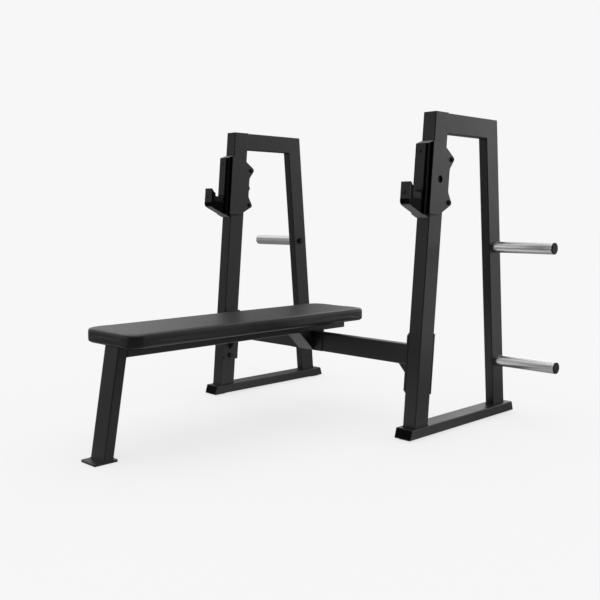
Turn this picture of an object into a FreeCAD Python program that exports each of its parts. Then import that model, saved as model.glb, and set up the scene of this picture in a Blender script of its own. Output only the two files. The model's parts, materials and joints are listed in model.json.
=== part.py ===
import FreeCAD, Part
import math
import os
from types import SimpleNamespace

import Sketcher

# Olympic bench press: two leaning side frames, a bench on a spine tube, two bar hooks
# that slide on the front uprights and four plate pegs.  Millimetres, +Z up.
# +X is the lifter's left-to-right, the foot end of the bench points along -Y.

os.makedirs("parts", exist_ok=True)
doc = FreeCAD.newDocument("bench_press")

# ---------------------------------------------------------------- driving dimensions

driving = {
    # side frames
    "height": 1268.0,
    "side_plane": 588.7,
    "rack_front": 180.0,
    "lean": 5.0,
    "foot_under": 5.0,
    "foot_top": 45.0,
    "upright_width": 60.0,
    "upright_depth": 85.0,
    "rear_width": 40.0,
    "rear_base": 662.0,
    "top_bar_tall": 80.0,
    "tube_wall": 3.0,
    "tube_corner": 4.0,
    "foot_bar_width": 80.0,
    "foot_bar_front": -26.5,
    "foot_bar_rear": 695.0,
    "foot_end_run": 12.0,
    "cap_thick": 3.0,
    "cap_plug": 15.0,
    "cap_gap": 0.3,
    "cap_recess": 1.5,
    "rubber_length": 60.0,
    "rubber_width": 50.0,
    # crossbeam and the saddles that hold it to the uprights
    "beam_low": 242.5,
    "beam_tall": 80.0,
    "beam_inset": 10.0,
    "beam_deep": 60.0,
    "saddle_thick": 8.0,
    "saddle_low": 130.0,
    "saddle_high": 370.0,
    "saddle_lip": 6.0,
    "saddle_chamfer": 12.0,
    "saddle_bolt_inset": 18.0,
    "saddle_hole_radius": 6.5,
    "gusset_size": 65.0,
    "gusset_thick": 8.0,
    # bench
    "spine_low": 368.0,
    "spine_tall": 40.0,
    "spine_width": 88.0,
    "spine_rear": 224.0,
    "leg_foot": -1028.3,
    "leg_tilt": 10.0,
    "leg_depth": 40.0,
    "foot_plate_front": -1067.0,
    "foot_plate_rear": -970.0,
    "foot_plate_width": 94.0,
    "foot_plate_thick": 6.0,
    "foot_plate_rubber": 2.0,
    "foot_plate_corner": 8.0,
    "brace_top": -55.0,
    "brace_depth": 40.0,
    "flange_half": 92.0,
    "flange_thick": 4.0,
    "bracket_thick": 3.0,
    "bracket_length": 60.0,
    "bracket_width": 200.0,
    "pad_hole_radius": 4.2,
    "pad_hole_inset": 20.0,
    "tray_thick": 2.0,
    "tray_inset": 10.0,
    "pad_front": -980.5,
    "pad_rear": 250.0,
    "pad_width": 320.0,
    "pad_thick": 50.0,
    "pad_corner": 52.0,
    "pad_round": 9.0,
    "pad_edge_low": 4.0,
    "soft_gap": 0.3,
    # plate pegs
    "peg_high": 736.0,
    "peg_low": 240.0,
    "peg_radius": 24.15,
    "peg_wall": 3.0,
    "peg_length": 275.3,
    "peg_plug": 20.0,
    "peg_cap_thick": 4.0,
    "peg_cap_round": 2.0,
    "peg_bolt_radius": 8.0,
    # sliding bar hooks, measured from the height mark that they stand at
    "hook_mark": 972.0,
    "slide_gap": 0.3,
    "liner_thick": 1.0,
    "channel_wall": 2.5,
    "channel_half": 138.0,
    "channel_back": 60.0,
    "plate_thick": 5.0,
    "plate_front": -12.0,
    "plate_taper_start": 50.0,
    "plate_waist": 101.0,
    "plate_waist_half": 45.0,
    "waist_round": 30.0,
    "plate_corner": 4.0,
    "ear_back": 131.0,
    "ear_high": 89.0,
    "ear_round": 11.0,
    "axle_back": 110.0,
    "axle_high": 84.0,
    "axle_radius": 6.0,
    "axle_gap": 0.2,
    "dome_radius": 9.5,
    "dome_tall": 8.0,
    "glide_half": 18.0,
    "glide_deep": 41.0,
    "window_back": 43.0,
    "window_radius": 14.5,
    "hook_half": 22.0,
    "hook_corner": 1.5,
    "screw_hole_radius": 4.2,
    "screw_sink_radius": 7.2,
    "screw_sink": 4.0,
    "lip_front": -122.0,
    "lip_plate_thick": 6.0,
    "lip_top": -26.5,
    "lip_plate_low": -92.0,
    "lip_inner": -98.0,
    "lip_slope": 18.0,
    "chin_low": -110.7,
    "chin_round": 22.0,
    "block_front": -35.0,
    "block_half": 30.0,
    "block_low": -153.5,
    "block_top_rise": 14.0,
    "back_liner_front": -41.5,
    "back_liner_low": -52.0,
    "back_liner_high": 129.0,
    "back_liner_half": 21.5,
    "seat_top": -60.0,
    "seat_low": -85.0,
    "seat_wall": 6.0,
    "seat_corner": 12.0,
    "trough_corner": 5.0,
    "pin_radius": 5.0,
    "pin_gap": 0.05,
    "pin_plate_half": 25.0,
    "pin_plate_front": 88.0,
    "pin_plate_thick": 6.0,
    "housing_rear": 110.0,
    "housing_radius": 10.0,
    "knob_front": 112.0,
    "knob_rear": 133.0,
    "knob_radius": 12.0,
}

sheet = doc.addObject("Spreadsheet::Sheet", "dims")
for row, (alias, number) in enumerate(driving.items(), start=1):
    sheet.set("A%d" % row, alias)
    sheet.set("B%d" % row, str(number))
    sheet.setAlias("B%d" % row, alias)
doc.recompute()


class Size:
    """A length with its number now and the sheet formula that keeps it up to date."""

    def __init__(self, value, text):
        self.value = value
        self.text = text

    def joined(self, other, sign, value):
        return Size(value, "(%s %s %s)" % (self.text, sign, other.text))

    def __add__(self, other):
        other = as_size(other)
        return self.joined(other, "+", self.value + other.value)

    def __sub__(self, other):
        other = as_size(other)
        return self.joined(other, "-", self.value - other.value)

    def __mul__(self, other):
        other = as_size(other)
        return self.joined(other, "*", self.value * other.value)

    def __truediv__(self, other):
        other = as_size(other)
        return self.joined(other, "/", self.value / other.value)

    def __neg__(self):
        return Size(-self.value, "(0 - %s)" % self.text)


def as_size(number):
    if isinstance(number, Size):
        return number
    return Size(float(number), "(%s)" % repr(float(number)))


def angle_part(function, name, angle):
    """sin, cos or tan of an angle that the sheet keeps in degrees."""
    return Size(function(math.radians(angle.value)), "%s(%s * 1 deg)" % (name, angle.text))


dim = SimpleNamespace(**{alias: Size(number, "dims." + alias) for alias, number in driving.items()})
zero = as_size(0)
lean_sin = angle_part(math.sin, "sin", dim.lean)
lean_cos = angle_part(math.cos, "cos", dim.lean)
lean_tan = angle_part(math.tan, "tan", dim.lean)
leg_cos = angle_part(math.cos, "cos", dim.leg_tilt)
leg_tan = angle_part(math.tan, "tan", dim.leg_tilt)

# ---------------------------------------------------------------- drawing helpers

sub_parts = {}


def keep(node, thing):
    """Remember a finished sub-part under the name of its file."""
    thing.Label = node
    sub_parts[node] = thing
    return thing


def place(thing, x=zero, y=zero, z=zero, rotation=None):
    """Put a body in the world and bind its position to the sheet."""
    turn = rotation or FreeCAD.Rotation()
    spot = FreeCAD.Vector(x.value, y.value, z.value)
    thing.Placement = FreeCAD.Placement(spot, turn)
    for letter, size in zip("xyz", (x, y, z)):
        thing.setExpression("Placement.Base." + letter, size.text)


def leaning():
    """Turns a piece drawn upright so that it leans back with the front uprights."""
    return FreeCAD.Rotation(FreeCAD.Vector(1, 0, 0), -dim.lean.value)


def origin_plane(body, role):
    return next(item for item in body.Origin.OriginFeatures if item.Role == role)


def new_sketch(body, role, offset=None):
    sketch = body.newObject("Sketcher::SketchObject", body.Name + "_sketch")
    sketch.AttachmentSupport = [(origin_plane(body, role), "")]
    sketch.MapMode = "FlatFace"
    if offset is not None:
        sketch.setExpression("AttachmentOffset.Base.z", offset.text)
    return sketch


def hold(sketch, geometry, point, across, up):
    """Fix one point of a sketch by its distances from the origin."""
    for kind, size in (("DistanceX", across), ("DistanceY", up)):
        rule = Sketcher.Constraint(kind, -1, 1, geometry, point, size.value)
        index = sketch.addConstraint(rule)
        sketch.setExpression("Constraints[%d]" % index, size.text)


def outline(sketch, corners):
    """A closed outline of straight edges through the given corners."""
    corners = [(as_size(across), as_size(up)) for across, up in corners]
    spots = [FreeCAD.Vector(across.value, up.value, 0) for across, up in corners]
    first = sketch.GeometryCount
    count = len(corners)
    for index in range(count):
        sketch.addGeometry(Part.LineSegment(spots[index], spots[(index + 1) % count]), False)
    for index in range(count):
        following = first + (index + 1) % count
        sketch.addConstraint(Sketcher.Constraint("Coincident", first + index, 2, following, 1))
    for index, (across, up) in enumerate(corners):
        hold(sketch, first + index, 1, across, up)


def circle(sketch, across, up, radius):
    middle = FreeCAD.Vector(across.value, up.value, 0)
    geometry = sketch.addGeometry(Part.Circle(middle, FreeCAD.Vector(0, 0, 1), radius.value), False)
    hold(sketch, geometry, 3, across, up)
    index = sketch.addConstraint(Sketcher.Constraint("Radius", geometry, radius.value))
    sketch.setExpression("Constraints[%d]" % index, radius.text)


def new_body(name):
    return doc.addObject("PartDesign::Body", name)


def extrude(body, kind, sketch, length, both_ways=True, reverse=False):
    """A Pad or a Pocket; a pocket that takes nothing away is an error."""
    before = body.Shape.Volume if kind == "Pocket" else 0.0
    feature = body.newObject("PartDesign::" + kind, body.Name + "_" + kind.lower())
    feature.Profile = sketch
    feature.SideType = "Symmetric" if both_ways else "One side"
    feature.Reversed = reverse
    feature.setExpression("Length", length.text)
    sketch.Visibility = False
    doc.recompute()
    if kind == "Pocket" and body.Shape.Volume > before - 1.0:
        raise RuntimeError("pocket cuts nothing in " + body.Name)
    return feature


def prism(body, role, corners, length, both_ways=True, offset=None, reverse=False):
    sketch = new_sketch(body, role, offset)
    outline(sketch, corners)
    return extrude(body, "Pad", sketch, length, both_ways, reverse)


def cut_prism(body, role, corners, length, both_ways=True, offset=None, reverse=False):
    sketch = new_sketch(body, role, offset)
    outline(sketch, corners)
    return extrude(body, "Pocket", sketch, length, both_ways, reverse)


def cut_holes(body, role, holes, length, both_ways=True, offset=None, reverse=False):
    """Round holes, each given as its centre and its radius."""
    sketch = new_sketch(body, role, offset)
    for across, up, radius in holes:
        circle(sketch, as_size(across), as_size(up), as_size(radius))
    return extrude(body, "Pocket", sketch, length, both_ways, reverse)


def turned(body, corners):
    """A turned solid: a half profile (along, radius) spun round the X axis."""
    sketch = new_sketch(body, "XY_Plane")
    outline(sketch, corners)
    spin = body.newObject("PartDesign::Revolution", body.Name + "_spin")
    spin.Profile = sketch
    spin.ReferenceAxis = (sketch, ["H_Axis"])
    spin.Angle = 360
    sketch.Visibility = False
    doc.recompute()
    return spin


def dress(body, kind, size, chosen):
    """A Fillet or a Chamfer on every edge that the test picks."""
    base = body.Tip
    names = ["Edge%d" % (number + 1) for number, edge in enumerate(base.Shape.Edges) if chosen(edge)]
    if not names:
        raise RuntimeError("no edges to dress on " + body.Name)
    feature = body.newObject("PartDesign::" + kind, body.Name + "_" + kind.lower())
    feature.Base = (base, names)
    feature.setExpression("Radius" if kind == "Fillet" else "Size", as_size(size).text)
    doc.recompute()
    if "Invalid" in feature.State:
        raise RuntimeError("%s fails on %s" % (kind, body.Name))
    return feature


def straight_along(edge, axis, shortest=1.0):
    """True for a straight edge parallel to an axis and longer than a limit."""
    if edge.Curve.TypeId != "Part::GeomLine" or edge.Length < shortest:
        return False
    way = edge.tangentAt(edge.FirstParameter)
    return abs(way.dot(FreeCAD.Vector(*axis))) > 0.999


def reaches(edge, letter, value, slack=0.01):
    """True when the whole edge lies in the plane letter = value."""
    box = edge.BoundBox
    low = getattr(box, letter.upper() + "Min")
    high = getattr(box, letter.upper() + "Max")
    return abs(low - value) < slack and abs(high - value) < slack


def side_tube(name, corners, hollow, width):
    """A rectangular tube drawn from the side: its silhouette, then its hollow, then its corners."""
    body = new_body(name)
    prism(body, "YZ_Plane", corners, width)
    cut_prism(body, "YZ_Plane", hollow, width - dim.tube_wall * 2)
    half = width.value / 2

    def long_corner(edge):
        on_side = reaches(edge, "x", half) or reaches(edge, "x", -half)
        return on_side and edge.Length > 200.0

    dress(body, "Fillet", dim.tube_corner, long_corner)
    return body


def primitive(kind, name, spot=(0, 0, 0), rotation=None, **sizes):
    thing = doc.addObject("Part::" + kind, name)
    for alias, size in sizes.items():
        thing.setExpression(alias, as_size(size).text)
    thing.Placement = FreeCAD.Placement(FreeCAD.Vector(*spot), rotation or FreeCAD.Rotation())
    return thing


def fuse(name, pieces):
    joined = doc.addObject("Part::MultiFuse", name)
    joined.Shapes = pieces
    joined.Refine = True
    return joined


def group(node, pieces):
    """Several separate solids that share one node."""
    together = doc.addObject("Part::Compound", node + "_set")
    together.Links = pieces
    return keep(node, together)


def hex_bolt(name, radius, length, across_flats, head_tall, washer_radius, spot, rotation):
    """Hex bolt with its washer; the shank runs along local +Z from under the washer."""
    washer_tall = 2.0
    head = primitive("Prism", name + "_head", (0, 0, -washer_tall - head_tall), None,
                     Polygon=6, Circumradius=across_flats / math.sqrt(3), Height=head_tall)
    washer = primitive("Cylinder", name + "_washer", (0, 0, -washer_tall), None,
                       Radius=washer_radius, Height=washer_tall)
    shank = primitive("Cylinder", name + "_shank", (0, 0, 0), None, Radius=radius, Height=length)
    bolt = fuse(name, [head, washer, shank])
    bolt.Placement = FreeCAD.Placement(FreeCAD.Vector(*spot), rotation)
    return bolt


along_plus_x = FreeCAD.Rotation(FreeCAD.Vector(0, 1, 0), 90)
along_minus_x = FreeCAD.Rotation(FreeCAD.Vector(0, 1, 0), -90)
upward = FreeCAD.Rotation()
sides = (("left", -1), ("right", 1))

# ---------------------------------------------------------------- side frames

front_slant = (dim.height - dim.foot_top) * lean_tan
upright_cut = dim.upright_depth / lean_cos
wall_cut = dim.tube_wall / lean_cos
beyond = as_size(20)
beyond_shift = beyond * lean_tan
under_bar = dim.height - dim.top_bar_tall
rear_front_base = dim.rear_base - upright_cut


def rear_face(height):
    """Where the back of the rear upright is at a height above the floor."""
    return dim.rear_base - (height - dim.foot_top) * lean_tan


def front_face(height):
    """Where the front of the front upright is at a height above the floor."""
    return (height - dim.foot_top) * lean_tan


def peg_spot(height):
    """The middle of the rear upright at a height."""
    return rear_face(height) - upright_cut / 2


def along_front(along, behind):
    """World y and z of a place on the leaning front upright, without the shift of the rack."""
    y = along * lean_sin + behind * lean_cos
    z = dim.foot_top + along * lean_cos - behind * lean_sin
    return y, z


def make_front_upright(node, sign):
    corners = [
        (zero, dim.foot_top),
        (upright_cut, dim.foot_top),
        (front_slant + upright_cut, dim.height),
        (front_slant, dim.height),
    ]
    hollow = [
        (wall_cut - beyond_shift, dim.foot_top - beyond),
        (upright_cut - wall_cut - beyond_shift, dim.foot_top - beyond),
        (front_slant + upright_cut - wall_cut, dim.height - dim.tube_wall),
        (front_slant + wall_cut, dim.height - dim.tube_wall),
    ]
    body = side_tube(node, corners, hollow, dim.upright_width)
    bolts = []
    for along in (dim.saddle_low + dim.saddle_bolt_inset, dim.saddle_high - dim.saddle_bolt_inset):
        y, z = along_front(along, dim.upright_depth / 2)
        bolts.append((y, z, dim.saddle_hole_radius))
    inner_face = -dim.upright_width / 2 if sign > 0 else dim.upright_width / 2
    cut_holes(body, "YZ_Plane", bolts, dim.tube_wall * 3, True, inner_face)
    place(body, dim.side_plane * sign, dim.rack_front)
    return keep(node, body)


def make_rear_upright(node, sign):
    corner_inner = rear_face(under_bar) - upright_cut
    corners = [
        (rear_front_base, dim.foot_top),
        (dim.rear_base, dim.foot_top),
        (rear_face(dim.height), dim.height),
        (corner_inner, under_bar),
    ]
    hollow = [
        (rear_front_base + wall_cut + beyond_shift, dim.foot_top - beyond),
        (dim.rear_base - wall_cut + beyond_shift, dim.foot_top - beyond),
        (rear_face(dim.height - dim.tube_wall) - wall_cut, dim.height - dim.tube_wall),
        (rear_face(dim.height - dim.tube_wall) - upright_cut + wall_cut, dim.height - dim.tube_wall),
    ]
    body = side_tube(node, corners, hollow, dim.rear_width)
    pegs = [(peg_spot(height), height, dim.peg_bolt_radius + 0.5) for height in (dim.peg_high, dim.peg_low)]
    cut_holes(body, "YZ_Plane", pegs, dim.rear_width + beyond)
    place(body, dim.side_plane * sign, dim.rack_front)
    return keep(node, body)


def make_top_bar(node, sign):
    start_low = front_face(under_bar) + upright_cut
    start_high = front_face(dim.height) + upright_cut
    corners = [
        (start_low, under_bar),
        (rear_face(under_bar) - upright_cut, under_bar),
        (rear_face(dim.height), dim.height),
        (start_high, dim.height),
    ]
    hollow = [
        (start_low - beyond, under_bar + dim.tube_wall),
        (rear_face(dim.height), under_bar + dim.tube_wall),
        (rear_face(dim.height) - dim.tube_wall, dim.height - dim.tube_wall),
        (start_high - beyond, dim.height - dim.tube_wall),
    ]
    body = side_tube(node, corners, hollow, dim.rear_width)
    place(body, dim.side_plane * sign, dim.rack_front)
    return keep(node, body)


def make_foot_bar(node, sign):
    corners = [
        (dim.foot_bar_front - dim.foot_end_run, dim.foot_under),
        (dim.foot_bar_rear + dim.foot_end_run, dim.foot_under),
        (dim.foot_bar_rear, dim.foot_top),
        (dim.foot_bar_front, dim.foot_top),
    ]
    hollow = [
        (dim.foot_bar_front - beyond * 2, dim.foot_under + dim.tube_wall),
        (dim.foot_bar_rear + beyond * 2, dim.foot_under + dim.tube_wall),
        (dim.foot_bar_rear + beyond * 2, dim.foot_top - dim.tube_wall),
        (dim.foot_bar_front - beyond * 2, dim.foot_top - dim.tube_wall),
    ]
    body = side_tube(node, corners, hollow, dim.foot_bar_width)
    place(body, dim.side_plane * sign, dim.rack_front)
    return keep(node, body)


def make_foot_cap(name, sign, end):
    """Plastic plug set back a little in one end of a foot bar, cut on the slant of the tube."""
    body = new_body(name)
    slope = dim.foot_end_run / (dim.foot_top - dim.foot_under)
    inset = dim.tube_wall + dim.cap_gap
    at_top = (dim.foot_bar_front if end < 0 else dim.foot_bar_rear) - dim.cap_recess * end
    at_floor = at_top + dim.foot_end_run * end
    low = dim.foot_under + inset
    high = dim.foot_top - inset
    prism(body, "YZ_Plane", [
        (at_floor - slope * inset * end, low),
        (at_top + slope * inset * end, high),
        (at_top - dim.cap_plug * end, high),
        (at_top - dim.cap_plug * end, low),
    ], dim.foot_bar_width - inset * 2)
    place(body, dim.side_plane * sign, dim.rack_front)
    return body


def make_box(name, low, high):
    """A plain block between two corners, bound to the sheet."""
    box = doc.addObject("Part::Box", name)
    for alias, size in zip(("Length", "Width", "Height"), [b - a for a, b in zip(low, high)]):
        box.setExpression(alias, size.text)
    place(box, *low)
    return box


caps = []
rubber = []
for side, sign in sides:
    make_front_upright("front_upright_" + side, sign)
    make_rear_upright("rear_upright_" + side, sign)
    make_top_bar("top_bar_" + side, sign)
    make_foot_bar("foot_bar_" + side, sign)
    for end in (-1, 1):
        caps.append(make_foot_cap("foot_cap_%s_%s" % (side, "rear" if end > 0 else "front"), sign, end))
        middle = dim.side_plane * sign
        if end < 0:
            start = dim.foot_bar_front + dim.rack_front
        else:
            start = dim.foot_bar_rear + dim.rack_front - dim.rubber_length
        low = (middle - dim.rubber_width / 2, start, zero)
        high = (middle + dim.rubber_width / 2, start + dim.rubber_length, dim.foot_under)
        rubber.append(make_box("rubber_%s_%d" % (side, end + 1), low, high))

# ---------------------------------------------------------------- crossbeam and saddles

saddle_inner = dim.side_plane - dim.upright_width / 2 - dim.saddle_thick


def make_crossbeam():
    body = new_body("crossbeam")
    back = dim.beam_inset + dim.beam_deep
    top = dim.beam_low + dim.beam_tall
    wall = dim.tube_wall
    sketch = new_sketch(body, "YZ_Plane")
    outline(sketch, [
        (dim.beam_inset, dim.beam_low),
        (back, dim.beam_low),
        (back, top),
        (dim.beam_inset, top),
    ])
    outline(sketch, [
        (dim.beam_inset + wall, dim.beam_low + wall),
        (back - wall, dim.beam_low + wall),
        (back - wall, top - wall),
        (dim.beam_inset + wall, top - wall),
    ])
    extrude(body, "Pad", sketch, saddle_inner * 2)
    corners = {(y, z) for y in (dim.beam_inset.value, back.value) for z in (dim.beam_low.value, top.value)}
    dress(body, "Fillet", dim.tube_corner,
          lambda edge: any(reaches(edge, "y", y) and reaches(edge, "z", z) for y, z in corners))
    place(body, zero, dim.rack_front, dim.foot_top, leaning())
    return keep("crossbeam", body)


def make_saddle(node, sign):
    """Angle bracket: a plate on the inner face of the upright with a lip round its back."""
    body = new_body(node)
    tube_inner = dim.side_plane - dim.upright_width / 2
    tube_outer = dim.side_plane + dim.upright_width / 2
    back = dim.upright_depth + dim.saddle_lip
    plan = [
        (saddle_inner, zero),
        (tube_inner, zero),
        (tube_inner, dim.upright_depth),
        (tube_outer, dim.upright_depth),
        (tube_outer, back),
        (saddle_inner, back),
    ]
    plan = [(across * sign, behind) for across, behind in plan]
    prism(body, "XY_Plane", plan, dim.saddle_high - dim.saddle_low, False, dim.saddle_low)
    dress(body, "Chamfer", dim.saddle_chamfer,
          lambda edge: reaches(edge, "y", 0.0) and straight_along(edge, (1, 0, 0), 2.0))
    bolts = [
        (dim.upright_depth / 2, dim.saddle_low + dim.saddle_bolt_inset, dim.saddle_hole_radius),
        (dim.upright_depth / 2, dim.saddle_high - dim.saddle_bolt_inset, dim.saddle_hole_radius),
    ]
    cut_holes(body, "YZ_Plane", bolts, dim.saddle_thick * 3, True, saddle_inner * sign)
    place(body, zero, dim.rack_front, dim.foot_top, leaning())
    return keep(node, body)


def make_gusset(name, sign):
    body = new_body(name)
    corners = [
        (saddle_inner * sign, dim.beam_low),
        ((saddle_inner - dim.gusset_size) * sign, dim.beam_low),
        (saddle_inner * sign, dim.beam_low - dim.gusset_size),
    ]
    prism(body, "XZ_Plane", corners, dim.gusset_thick, True, -dim.upright_depth / 2)
    place(body, zero, dim.rack_front, dim.foot_top, leaning())
    return body


make_crossbeam()
gussets = []
saddle_bolts = []
for side, sign in sides:
    make_saddle("saddle_" + side, sign)
    gussets.append(make_gusset("gusset_" + side, sign))
    outward = along_plus_x if sign > 0 else along_minus_x
    for level, along in (("low", dim.saddle_low + dim.saddle_bolt_inset),
                         ("high", dim.saddle_high - dim.saddle_bolt_inset)):
        y, z = along_front(along, dim.upright_depth / 2)
        spot = (saddle_inner.value * sign, y.value + dim.rack_front.value, z.value)
        saddle_bolts.append(hex_bolt("saddle_bolt_%s_%s" % (side, level), 6.0, 26.0, 19.0, 7.5, 12.0,
                                     spot, leaning().multiply(outward)))
group("gussets", gussets)
group("saddle_bolts", saddle_bolts)

# ---------------------------------------------------------------- bench

spine_top = dim.spine_low + dim.spine_tall
leg_bottom = dim.foot_plate_rubber + dim.foot_plate_thick
leg_cut = dim.leg_depth / leg_cos
leg_wall = dim.tube_wall / leg_cos


def leg_front(height):
    return dim.leg_foot + (height - leg_bottom) * leg_tan


def make_leg():
    corners = [
        (leg_front(leg_bottom), leg_bottom),
        (leg_front(leg_bottom) + leg_cut, leg_bottom),
        (leg_front(spine_top) + leg_cut, spine_top),
        (leg_front(spine_top), spine_top),
    ]
    low = leg_bottom - beyond
    high = spine_top - dim.tube_wall
    hollow = [
        (leg_front(low) + leg_wall, low),
        (leg_front(low) + leg_cut - leg_wall, low),
        (leg_front(high) + leg_cut - leg_wall, high),
        (leg_front(high) + leg_wall, high),
    ]
    body = side_tube("front_leg", corners, hollow, dim.spine_width)
    place(body, zero, dim.rack_front)
    return keep("front_leg", body)


def make_spine():
    start_low = leg_front(dim.spine_low) + leg_cut
    start_high = leg_front(spine_top) + leg_cut
    corners = [
        (start_low, dim.spine_low),
        (dim.spine_rear, dim.spine_low),
        (dim.spine_rear, spine_top),
        (start_high, spine_top),
    ]
    hollow = [
        (start_low - beyond, dim.spine_low + dim.tube_wall),
        (dim.spine_rear + beyond, dim.spine_low + dim.tube_wall),
        (dim.spine_rear + beyond, spine_top - dim.tube_wall),
        (start_low - beyond, spine_top - dim.tube_wall),
    ]
    body = side_tube("spine", corners, hollow, dim.spine_width)
    place(body, zero, dim.rack_front)
    return keep("spine", body)


def make_spine_cap():
    body = new_body("spine_cap")
    inset = dim.tube_wall + dim.cap_gap
    plate = [
        (dim.spine_rear, dim.spine_low),
        (dim.spine_rear + dim.cap_thick, dim.spine_low),
        (dim.spine_rear + dim.cap_thick, spine_top),
        (dim.spine_rear, spine_top),
    ]
    prism(body, "YZ_Plane", plate, dim.spine_width)
    half = dim.spine_width.value / 2
    dress(body, "Fillet", dim.tube_corner,
          lambda edge: (reaches(edge, "x", half) or reaches(edge, "x", -half)) and edge.Length < 4.0)
    plug = [
        (dim.spine_rear - dim.cap_plug, dim.spine_low + inset),
        (dim.spine_rear, dim.spine_low + inset),
        (dim.spine_rear, spine_top - inset),
        (dim.spine_rear - dim.cap_plug, spine_top - inset),
    ]
    prism(body, "YZ_Plane", plug, dim.spine_width - inset * 2)
    place(body, zero, dim.rack_front)
    return body


def make_foot_plate():
    body = new_body("foot_plate")
    half = dim.foot_plate_width / 2
    plan = [
        (-half, dim.foot_plate_front),
        (half, dim.foot_plate_front),
        (half, dim.foot_plate_rear),
        (-half, dim.foot_plate_rear),
    ]
    prism(body, "XY_Plane", plan, dim.foot_plate_thick, False, dim.foot_plate_rubber)
    dress(body, "Fillet", dim.foot_plate_corner, lambda edge: straight_along(edge, (0, 0, 1)))
    place(body, zero, dim.rack_front)
    return keep("foot_plate", body)


def make_brace():
    """Slanted tube from under the spine to the flange plate on the crossbeam."""
    face = dim.beam_inset - dim.flange_thick
    foot = along_front(dim.beam_low, face)
    run = dim.brace_top - foot[0]
    rise = dim.spine_low - foot[1]
    slant_length = Size(math.hypot(run.value, rise.value), "sqrt(%s^2 + %s^2)" % (run.text, rise.text))
    top_shift = dim.brace_depth * slant_length / rise
    grip = (lean_sin * rise - lean_cos * run) / slant_length
    face_shift = dim.brace_depth / grip
    foot_back = along_front(dim.beam_low + face_shift, face)
    body = new_body("brace")
    prism(body, "YZ_Plane", [
        foot,
        foot_back,
        (dim.brace_top + top_shift, dim.spine_low),
        (dim.brace_top, dim.spine_low),
    ], dim.spine_width)
    wall_shift = dim.tube_wall * slant_length / rise
    past = beyond * 3
    past_y = past * run / slant_length
    past_z = past * rise / slant_length
    low_z = foot[1] - past_z
    high_z = dim.spine_low + past_z
    low_y = foot[0] - past_y
    high_y = dim.brace_top + past_y
    cut_prism(body, "YZ_Plane", [
        (low_y + wall_shift, low_z),
        (low_y + top_shift - wall_shift, low_z),
        (high_y + top_shift - wall_shift, high_z),
        (high_y + wall_shift, high_z),
    ], dim.spine_width - dim.tube_wall * 2)
    place(body, zero, dim.rack_front)
    return keep("brace", body)


def make_flange():
    body = new_body("brace_flange")
    front = dim.beam_inset - dim.flange_thick
    top = dim.beam_low + dim.beam_tall
    plan = [
        (front, dim.beam_low),
        (dim.beam_inset, dim.beam_low),
        (dim.beam_inset, top),
        (front, top),
    ]
    prism(body, "YZ_Plane", plan, dim.flange_half * 2)
    place(body, zero, dim.rack_front, dim.foot_top, leaning())
    return keep("brace_flange", body)


def make_wedge():
    """Packer between the level spine and the leaning top of the crossbeam."""
    body = new_body("spine_wedge")
    top = dim.beam_low + dim.beam_tall
    front_low = along_front(top, dim.beam_inset + dim.tube_corner)
    back_low = along_front(top, dim.beam_inset + dim.beam_deep - dim.tube_corner)
    prism(body, "YZ_Plane", [
        front_low,
        back_low,
        (back_low[0], dim.spine_low),
        (front_low[0], dim.spine_low),
    ], dim.spine_width)
    place(body, zero, dim.rack_front)
    return keep("spine_wedge", body)


bracket_top = spine_top + dim.bracket_thick
tray_top = bracket_top + dim.tray_thick
bracket_starts = (as_size(-830), as_size(-380), as_size(70))
bolt_reach = dim.bracket_width / 2 - dim.pad_hole_inset


def make_pad_fixings():
    brackets = []
    bolts = []
    bolt_long = (dim.bracket_thick + dim.tray_thick).value - 0.5
    for number, start in enumerate(bracket_starts):
        half = dim.bracket_width / 2
        low = (-half, start + dim.rack_front, spine_top)
        high = (half, start + dim.bracket_length + dim.rack_front, bracket_top)
        plate = make_box("bracket_blank_%d" % number, low, high)
        middle = (start + dim.bracket_length / 2 + dim.rack_front).value
        for sign in (-1, 1):
            drill = primitive("Cylinder", "bracket_drill_%d_%d" % (number, sign + 1),
                              (bolt_reach.value * sign, middle, spine_top.value - 1), None,
                              Radius=dim.pad_hole_radius, Height=dim.bracket_thick + 2)
            cut = doc.addObject("Part::Cut", "bracket_%d_%d" % (number, sign + 1))
            cut.Base = plate
            cut.Tool = drill
            plate = cut
            bolts.append(hex_bolt("pad_bolt_%d_%d" % (number, sign + 1), 4.0, bolt_long, 13.0, 5.0, 8.0,
                                  (bolt_reach.value * sign, middle, spine_top.value), upward))
        brackets.append(plate)
    group("pad_brackets", brackets)
    group("pad_bolts", bolts)


def make_pad_tray():
    """Thin moulded tray that closes the underside of the cushion."""
    body = new_body("pad_tray")
    half = dim.pad_width / 2 - dim.tray_inset
    plan = [
        (-half, dim.pad_front + dim.tray_inset),
        (half, dim.pad_front + dim.tray_inset),
        (half, dim.pad_rear - dim.tray_inset),
        (-half, dim.pad_rear - dim.tray_inset),
    ]
    prism(body, "XY_Plane", plan, dim.tray_thick, False, bracket_top)
    dress(body, "Fillet", dim.pad_corner - dim.tray_inset, lambda edge: straight_along(edge, (0, 0, 1)))
    holes = []
    for start in bracket_starts:
        for sign in (-1, 1):
            holes.append((bolt_reach * sign, start + dim.bracket_length / 2, dim.pad_hole_radius))
    cut_holes(body, "XY_Plane", holes, dim.tray_thick * 2, True, bracket_top)
    place(body, zero, dim.rack_front)
    return keep("pad_tray", body)


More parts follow.
